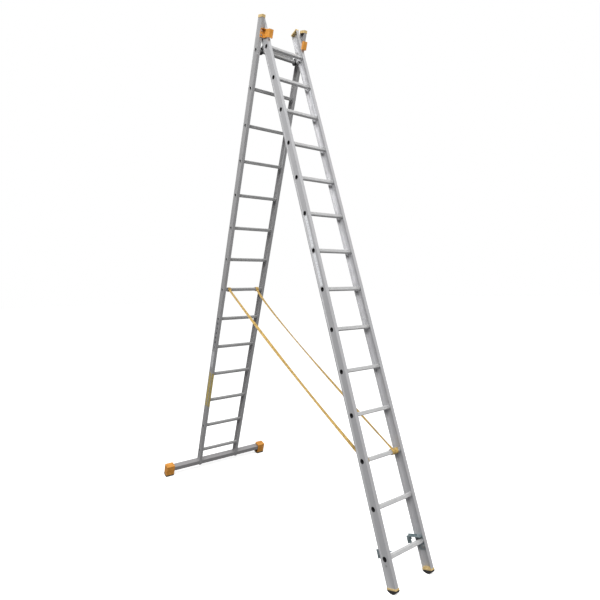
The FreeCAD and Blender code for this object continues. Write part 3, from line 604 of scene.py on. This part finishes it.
def makeFin(look):
    # a plate along the top tube: its outline across the plate, rounded at the top, carried along the tube
    turn = np.linspace(0, np.pi, 14)
    half = look["finThick"] / 2
    crown = np.stack([half * np.cos(turn), look["finHigh"] - half + half * np.sin(turn)], axis=-1)
    outline = np.concatenate([[(-half, look["finFoot"]), (half, look["finFoot"])], crown])
    stations = np.array([-look["finHalf"], look["finHalf"]])
    points = np.stack([
        np.repeat(stations[:, None], len(outline), axis=1),
        np.broadcast_to(outline[:, 0], (2, len(outline))),
        np.broadcast_to(outline[:, 1], (2, len(outline))),
    ], axis=-1)
    piece = newPiece("base_rung_fin_look", toWorld(base, points), gridFaces(2, len(outline), caps=True))
    faceOutwards(piece)
    dress(piece, materials["baseRung"], "base")


for index in range(rungCount):
    makeRung(fly, "upper_rung_%02d" % (index + 1), index, rungLook, materials["flyRung"], "bore", 5)
    tube = rungLook["hingeTube"] if index == 0 else 0.0
    makeRung(base, "base_rung_%02d" % (index + 1), index, rungLook, materials["baseRung"],
             "baseBoreShade", 1, tube)
makeFin(rungLook)
print("rungs made")


# ---- stiles, caps, brackets and the bar keep their shape, with rolled edges

rolled = {
    "base_stile_": (0.45, "baseStile", "stile_aluminium", "base"),
    "upper_stile_": (0.45, "flyStile", "stile_aluminium", "fly"),
    "base_cap_": (0.6, "tan", "tan_plastic", "base"),
    "upper_cap_": (0.6, "tan", "tan_plastic", "fly"),
    "foot_rim_": (1.2, "tan", "tan_plastic", "fly"),
    "bar_cap_": (3.0, "orange", "orange_plastic", "base"),
    "guide_shoe_": (1.2, "orange", "orange_plastic", "base"),
    "hinge_arm_": (0.8, "arm", "hinge_steel", "fly"),
    "hinge_bush_": (1.0, "black", "black_plastic", "hinge_bushes"),
    "rung_hook_": (0.7, "zinc", "zinc_bracket", "fly"),
}
for stem, (width, finish, slotName, body) in rolled.items():
    for word in sides:
        rounded(stem + word, width * mm, materials[finish], body)
for word in sides:
    rounded("hook_pawl_" + word, 0.5 * mm, materials["zinc"], "latch_" + word)
rounded("stabiliser_bar", 1.2 * mm, materials["bar"], "base")
rounded("base_fixings", 0.8 * mm, materials["fixing"], "base")
rounded("upper_fixings", 0.8 * mm, materials["fixing"], "fly")
print("edges rolled")


# ---- soles: a block with a curved, toothed tread

soleLook = {
    "flyRadius": 48.0 * mm, "flyHalf": 37.0 * mm, "flyTop": 26.0 * mm,
    "barRadius": 76.5 * mm, "barHalf": 32.45 * mm, "barCore": 63.5 * mm,
    "flyDrop": 141.5 * mm, "barDrop": 130.0 * mm,  # the tread arc's middle below the lowest rung
    "toothApart": 7.0 * mm, "toothDeep": 2.2 * mm, "edge": 1.2 * mm,
}


def soleOutline(radius, half, top, core, look):
    # the tread is an arc cut by square-sided grooves; the top is flat, or an arc round the bar's core
    steep = math.asin(half / radius)
    angle = np.linspace(-steep, steep, 240)
    along = angle * radius / look["toothApart"]
    gap = np.clip((np.cos(2 * np.pi * along) * -1 - 0.45) / 0.12, 0, 1)
    reach = radius - look["toothDeep"] * gap
    tread = np.stack([reach * np.sin(angle), -reach * np.cos(angle)], axis=-1)
    if core:
        inner = np.linspace(math.asin(half / core), -math.asin(half / core), 24)
        upper = np.stack([core * np.sin(inner), -core * np.cos(inner)], axis=-1)
    else:
        upper = np.array([(half, -top), (half * 0.5, -top), (0, -top), (-half * 0.5, -top), (-half, -top)])
    return np.concatenate([tread, upper])


def makeSole(name, section, node, outline, rise, finish, look):
    # the outline is carried across the sole's width and drawn in a little at both ends
    low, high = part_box(node)
    stations = np.array([(low[0], 1), (low[0] + look["edge"], 0), (high[0] - look["edge"], 0), (high[0], 1)])
    middle = (outline.min(axis=0) + outline.max(axis=0)) / 2
    size = outline.max(axis=0) - outline.min(axis=0)
    shrink = 1 - 2 * look["edge"] * stations[:, 1, None] / size[None, :]
    shape = middle + (outline[None, :, :] - middle) * shrink[:, None, :]
    across = np.repeat(stations[:, 0:1], len(outline), axis=1)
    points = np.stack([across, shape[..., 0], shape[..., 1] - rise], axis=-1)
    world = toWorld(section, points)
    world[..., 2] = np.maximum(world[..., 2], 0.0)
    piece = newPiece(name, world, gridFaces(len(stations), len(outline), caps=True))
    faceOutwards(piece)
    return dress(piece, materials[finish], section["body"], [node], 25)


flyDrop = (rungCount - 1) * fly["pitch"] + soleLook["flyDrop"]
barDrop = (rungCount - 1) * base["pitch"] + soleLook["barDrop"]
flySole = soleOutline(soleLook["flyRadius"], soleLook["flyHalf"], soleLook["flyTop"], 0, soleLook)
barSole = soleOutline(soleLook["barRadius"], soleLook["barHalf"], 0, soleLook["barCore"], soleLook)
for word in sides:
    makeSole("foot_sole_%s_look" % word, fly, "foot_sole_" + word, flySole, flyDrop, "rubber", soleLook)
    makeSole("bar_sole_%s_look" % word, base, "bar_sole_" + word, barSole, barDrop, "barSole", soleLook)
print("soles made")


# ---- straps: webbing between the sections, wound round a rung at each end

strapLook = {
    "wide": 25.0 * mm, "thick": 1.9 * mm,
    "baseX": 145.0 * mm, "baseRung": 8, "flyX": 134.0 * mm, "flyRung": 12,
    "wound": 18.2 * mm,  # radius of the webbing round a rung
    "sag": {"left": 25.0 * mm, "right": 45.0 * mm},
    "lowest": {"left": 1.0, "right": 0.6},  # under 1 the sag's lowest place moves towards the base
    "turn": {"left": 6.0, "right": -10.0},  # degrees that the webbing is turned over between its ends
    "sway": {"left": 9.0, "right": 9.0},
    "baseTurns": 1.6,
    "flyTurns": {"left": 1.2, "right": 4.4},
    "flyMiddle": {"left": 140.0 * mm, "right": 114.0 * mm},
    "turnApart": 12.5 * mm,
    "steps": 420, "around": 20,
}


def ribbon(name, path, wide, normal, look):
    # a rounded-oblong section carried along a path; width and height lie along the given directions
    angle = np.linspace(0, 2 * np.pi, look["around"], endpoint=False)
    flat = np.sign(np.cos(angle)) * np.abs(np.cos(angle)) ** 0.45
    rise = np.sign(np.sin(angle)) * np.abs(np.sin(angle)) ** 0.75
    selvedge = 1 + 0.35 * np.clip((np.abs(flat) - 0.86) / 0.1, 0, 1)  # a slightly thicker woven edge
    section = (
        wide[:, None, :] * (flat * look["wide"] / 2)[None, :, None]
        + normal[:, None, :] * (rise * selvedge * look["thick"] / 2)[None, :, None]
    )
    points = path[:, None, :] + section
    step = np.linalg.norm(np.diff(path, axis=0), axis=1)
    along = np.concatenate([[0], np.cumsum(step)])
    uv = np.stack(np.broadcast_arrays((flat / 2 + 0.5)[None, :], along[:, None]), axis=-1)
    piece = newPiece(name, points, gridFaces(len(path), look["around"], caps=True), uv)
    faceOutwards(piece)
    return piece


def unit(vectors):
    return vectors / np.linalg.norm(vectors, axis=-1, keepdims=True)


def makeSpan(word, look):
    # straight from rung to rung with a shallow sag, the webbing turned over between its ends
    side = sides[word]
    first = toWorld(base, (side * look["baseX"], -look["wound"], -(look["baseRung"] - 1) * base["pitch"]))
    last = toWorld(fly, (side * look["flyX"], look["wound"], -(look["flyRung"] - 1) * fly["pitch"]))
    share = np.linspace(0, 1, look["steps"])[:, None]
    path = first + (last - first) * share
    droop = share ** look["lowest"][word]
    path[:, 2:3] -= 4 * look["sag"][word] * droop * (1 - droop)
    along = unit(np.gradient(path, axis=0))
    across = np.array([1.0, 0.0, 0.0])[None, :]
    across = unit(across - along * (along @ across[0])[:, None])
    upright = np.cross(along, across)
    ease = np.clip(share / 0.07, 0, 1) * np.clip((1 - share) / 0.05, 0, 1)
    ease = ease * ease * (3 - 2 * ease)
    turn = ease * (look["turn"][word] + look["sway"][word] * np.sin(9.0 * share + 1.5 * side))
    turn = np.radians(turn)
    wide = across * np.cos(turn) + upright * np.sin(turn)
    normal = np.cross(wide, along)
    piece = ribbon("strap_%s_span" % word, path, wide, normal, look)
    piece.data.materials.append(materials["webbing"])
    smooth(piece, 50)
    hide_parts("strap_" + word)
    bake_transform(piece)


def makeWinding(name, section, rungNumber, middleX, turns, body, look):
    # webbing wound round a rung as a slow screw, each turn lying half over the one before
    steps = int(60 * turns)
    angle = np.linspace(0, 2 * np.pi * turns, steps)
    spread = look["turnApart"] * (turns - 1)
    across = middleX - spread / 2 + spread * angle / angle[-1]
    radius = look["wound"] + 0.5 * look["thick"] * angle / angle[-1]
    local = np.stack([across, radius * np.cos(angle), radius * np.sin(angle)], axis=-1)
    local[:, 2] -= (rungNumber - 1) * section["pitch"]
    path = toWorld(section, local)
    outwards = np.stack([0 * angle, np.cos(angle), np.sin(angle)], axis=-1)
    normal = outwards[:, 1:2] * section["back"] + outwards[:, 2:3] * section["up"]
    along = unit(np.gradient(path, axis=0))
    wide = unit(np.cross(normal, along))
    piece = ribbon(name, path, wide, normal, look)
    return dress(piece, materials["webbing"], body, (), 50)


for word, side in sides.items():
    makeSpan(word, strapLook)
    makeWinding("strap_%s_base_loop" % word, base, strapLook["baseRung"], side * strapLook["baseX"],
                strapLook["baseTurns"], "base", strapLook)
    makeWinding("strap_%s_fly_loop" % word, fly, strapLook["flyRung"], side * strapLook["flyMiddle"][word],
                strapLook["flyTurns"][word], "hinge_bushes", strapLook)
print("straps made")


# ---- labels: thin stickers on the stiles' faces, as across, from-to over the depth, and from-to down

labelLook = {
    "thick": 0.25 * mm,
    "edge": 9 * mm,  # from a stile's edge to the widest label on its face
    "flange": 12.5 * mm,  # half the width of a stile's front flange
    "past": 22 * mm,  # how far a label goes past its rungs
    "corner": 3 * mm,
}
labels = [
    ("labelFlyOuterUpper", fly, "left", "outer", (-0.5, 0.5), (6, 7), "labelWhite"),
    ("labelFlyOuterLower", fly, "left", "outer", (-0.5, 0.5), (7, 8), "labelWhite"),
    ("labelFlyInner", fly, "right", "inner", (-0.4, 0.4), (2, 3), "labelWhite"),
    ("labelBaseInner", base, "right", "inner", (-0.4, 0.4), (3, 4), "labelWhite"),
    ("labelBaseMarks", base, "left", "outer", (-0.9, 0.9), (9.0, 10.15), "labelDark"),
    ("labelBaseSilver", base, "left", "outer", (-0.95, 0.95), (10.1, 10.82), "labelSilver"),
    ("labelBaseYellow", base, "left", "outer", (-0.97, 0.97), (10.86, 12.28), "labelYellow"),
    ("labelBaseYellowFront", base, "left", "front", (-0.84, 0.84), (10.86, 12.28), "labelYellow"),
]


def makeLabel(name, section, word, face, depth, rungs, finish, look):
    # a flat thin sheet with rounded corners, laid on the face
    side = sides[word]
    thick = look["thick"]
    middle = 0.0
    reach = section["depth"] / 2 - look["edge"]
    outside = section["half"] - rungLook["sunk"]
    sheet = np.array([outside, outside + thick]) * side
    if face == "inner":
        inside = section["half"] - rungLook["web"]
        sheet = np.array([inside, inside - thick]) * side
    if face == "front":
        sheet = np.array([-section["depth"] / 2, -section["depth"] / 2 - thick])
        reach = look["flange"]
        middle = side * (section["half"] - reach)
    gap = look["past"]
    y0, y1 = middle + depth[0] * reach, middle + depth[1] * reach
    z0 = -(rungs[0] - 1) * section["pitch"] - gap
    z1 = -(rungs[1] - 1) * section["pitch"] + gap
    corner = look["corner"]
    turn = np.linspace(0, np.pi / 2, 6)
    outline = []
    for cy, cz, start in ((y1 - corner, z0 - corner, 0), (y0 + corner, z0 - corner, 1),
                          (y0 + corner, z1 + corner, 2), (y1 - corner, z1 + corner, 3)):
        angle = turn + start * np.pi / 2
        outline.append(np.stack([cy + corner * np.cos(angle), cz + corner * np.sin(angle)], axis=-1))
    outline = np.concatenate(outline)
    through = np.repeat(sheet[:, None], len(outline), axis=1)
    level = np.broadcast_to(outline[:, 0], (2, len(outline)))
    height = np.broadcast_to(outline[:, 1], (2, len(outline)))
    uv = np.stack([(level - y0) / (y1 - y0), (height - z1) / (z0 - z1)], axis=-1)
    places = (level, through) if face == "front" else (through, level)
    points = np.stack([*places, height], axis=-1)
    piece = newPiece(name, toWorld(section, points), gridFaces(2, len(outline), caps=True), uv)
    faceOutwards(piece)
    return dress(piece, materials[finish], section["body"])


for entry in labels:
    makeLabel(*entry, labelLook)
print("labels laid")


# ---- floor, light and background

stageLook = {
    "floorSeen": (0.80, 0.80, 0.80),
    "floorGlow": 0.55,
    "floorLit": (0.20, 0.20, 0.205),  # what the floor throws back on the ladder
    "sky": 0.70,
    "ground": 0.52,
    "floorHalf": 60,
}


def makeStage(look):
    # a pale paper floor that is brighter to look at than the light it throws back
    mesh = bpy.data.meshes.new("floor")
    far = look["floorHalf"]
    mesh.from_pydata([(-far, -far, 0), (far, -far, 0), (far, far, 0), (-far, far, 0)], [], [(0, 1, 2, 3)])
    floor = bpy.data.objects.new("floor", mesh)
    scene.collection.objects.link(floor)
    material, tree, shader = startMaterial("floorPaint")
    ray = tree.nodes.new("ShaderNodeLightPath")
    seen = ray.outputs["Is Camera Ray"]
    paper = noise(tree, objectPlace(tree), 3.0, 4.0)
    tint = mixColours(tree, paper, tuple(c * 0.98 for c in look["floorSeen"]), look["floorSeen"])
    tree.links.new(mixColours(tree, seen, look["floorLit"], tint), shader.inputs["Base Color"])
    shader.inputs["Roughness"].default_value = 0.9
    shader.inputs["Specular IOR Level"].default_value = 0.1
    shader.inputs["Emission Color"].default_value = (1, 1, 1, 1)
    tree.links.new(math1(tree, "MULTIPLY", seen, look["floorGlow"]), shader.inputs["Emission Strength"])
    mesh.materials.append(material)


def makeSky(look):
    # a little brighter from above than from the sides, and plain white to the eye
    world = bpy.data.worlds.new("studio")
    scene.world = world
    world.use_nodes = True
    tree = world.node_tree
    tree.nodes.clear()
    place = tree.nodes.new("ShaderNodeTexCoord")
    parts = tree.nodes.new("ShaderNodeSeparateXYZ")
    tree.links.new(place.outputs["Generated"], parts.inputs[0])
    height = ramp(tree, parts.outputs["Z"], -0.2, 1.0, look["ground"], look["sky"])
    soft = tree.nodes.new("ShaderNodeBackground")
    tree.links.new(height, soft.inputs["Strength"])
    plain = tree.nodes.new("ShaderNodeBackground")
    plain.inputs["Strength"].default_value = 1.0
    soft.inputs["Color"].default_value = (1, 1, 1, 1)
    plain.inputs["Color"].default_value = (1, 1, 1, 1)
    ray = tree.nodes.new("ShaderNodeLightPath")
    mix = tree.nodes.new("ShaderNodeMixShader")
    out = tree.nodes.new("ShaderNodeOutputWorld")
    tree.links.new(ray.outputs["Is Camera Ray"], mix.inputs[0])
    tree.links.new(soft.outputs[0], mix.inputs[1])
    tree.links.new(plain.outputs[0], mix.inputs[2])
    tree.links.new(mix.outputs[0], out.inputs["Surface"])


def softBox(name, place, target, size, power):
    data = bpy.data.lights.new(name, "AREA")
    data.shape = "RECTANGLE"
    data.size, data.size_y = size
    data.energy = power
    lamp = bpy.data.objects.new(name, data)
    lamp.location = place
    lamp.rotation_mode = "QUATERNION"
    lamp.rotation_quaternion = (Vector(target) - Vector(place)).to_track_quat("-Z", "Y")
    scene.collection.objects.link(lamp)


makeStage(stageLook)
makeSky(stageLook)
softBox("key", (-4.0, -4.4, 7.4), (0, 0, 2.0), (5, 5), 800)
scene.view_settings.view_transform = "Standard"
scene.view_settings.look = "None"
print("stage made")
